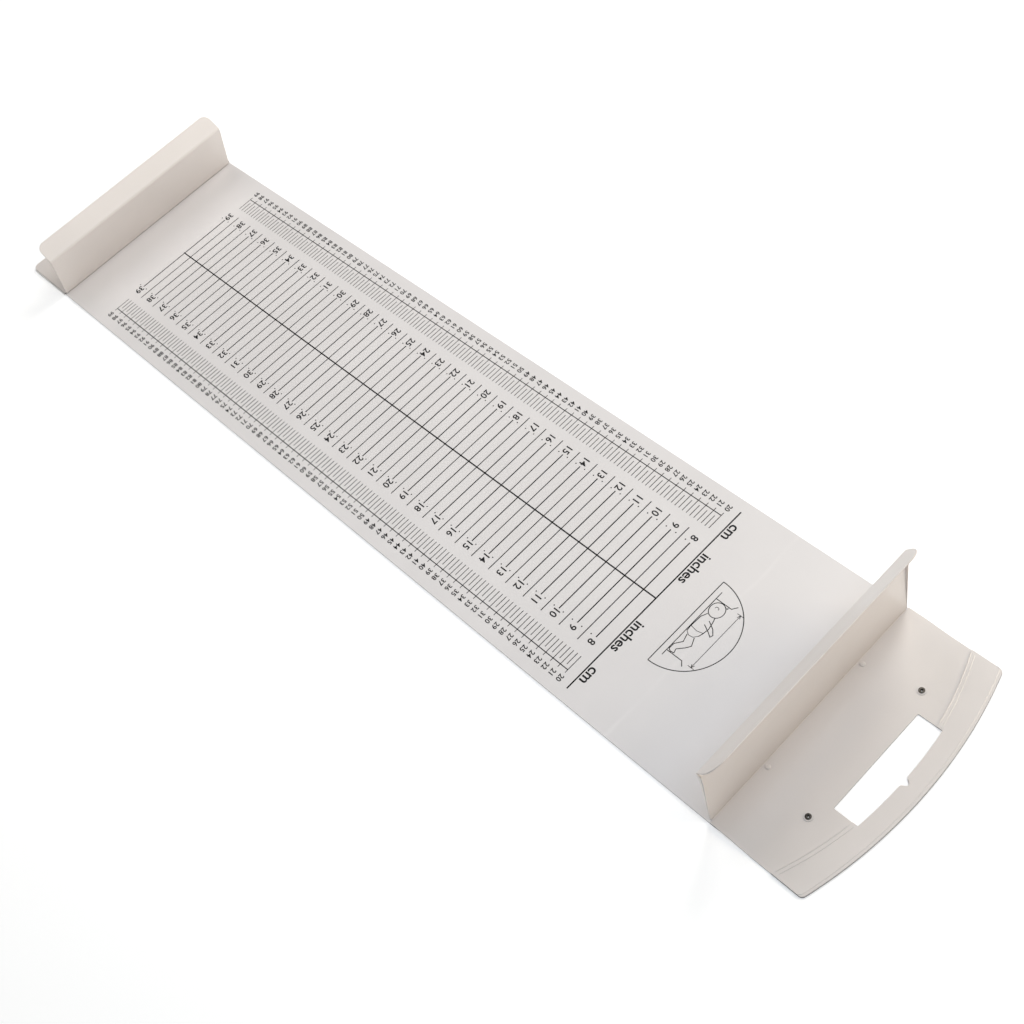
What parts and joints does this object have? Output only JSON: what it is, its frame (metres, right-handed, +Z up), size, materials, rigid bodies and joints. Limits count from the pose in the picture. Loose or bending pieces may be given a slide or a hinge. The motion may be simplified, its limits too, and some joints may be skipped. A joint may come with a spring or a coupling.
{
  "type": "infant length-measuring mat",
  "caption": "Roll-up length-measuring mat for infants: a printed sheet with a folding head stop, a carry-handle panel and a sliding, folding foot stop.",
  "frame": {"origin": "centre of the underside of the whole object, on the surface it lies on", "axes": "+X along the mat from the handle to the foot end, +Y to the mat's left, +Z up"},
  "size_m": [1.274, 0.2766, 0.1271],
  "materials": {
    "mat_sheet": "satin white plastic sheet",
    "handle_panel": "satin white plastic sheet",
    "grip_strip": "satin white plastic sheet",
    "stop_sheet": "satin off-white plastic sheet",
    "plastic_fittings": "moulded white plastic",
    "eyelet": "dark oxidised metal"
  },
  "bodies": {
    "mat": {"mat_sheet": "mat_sheet", "handle_panel": "handle_panel", "grip_strip": "grip_strip", "eyelet_left": "eyelet", "eyelet_right": "eyelet", "joint_rivet_left": "plastic_fittings", "joint_rivet_right": "plastic_fittings"},
    "head_wall_body": {"head_wall": "stop_sheet"},
    "head_lip_body": {"head_lip": "stop_sheet"},
    "foot_slide_body": {"foot_plate": "stop_sheet", "foot_guide_left": "plastic_fittings", "foot_guide_right": "plastic_fittings"},
    "foot_wall_body": {"foot_wall": "stop_sheet"},
    "foot_lip_body": {"foot_lip": "stop_sheet"}
  },
  "joints": [
    {"name": "head_wall_fold", "type": "hinge", "parent": "mat", "child": "head_wall_body", "pos_m": [-0.5149, 0, 0.0034], "axis": [0, 1, 0], "range_deg": [0, 90]},
    {"name": "head_lip_bend", "type": "hinge", "parent": "head_wall_body", "child": "head_lip_body", "pos_m": [-0.5149, 0, 0.1034], "axis": [0, 1, 0], "range_deg": [-51, 39]},
    {"name": "foot_slide", "type": "slide", "parent": "mat", "child": "foot_slide_body", "axis": [-1, 0, 0], "range_m": [0, 0.87]},
    {"name": "foot_wall_fold", "type": "hinge", "parent": "foot_slide_body", "child": "foot_wall_body", "pos_m": [0.5571, 0, 0.0034], "axis": [0, 1, 0], "range_deg": [-70.5, 19.5]},
    {"name": "foot_lip_bend", "type": "hinge", "parent": "foot_wall_body", "child": "foot_lip_body", "pos_m": [0.5319, 0, 0.07457], "axis": [0, 1, 0], "range_deg": [-80, 10]}
  ]
}
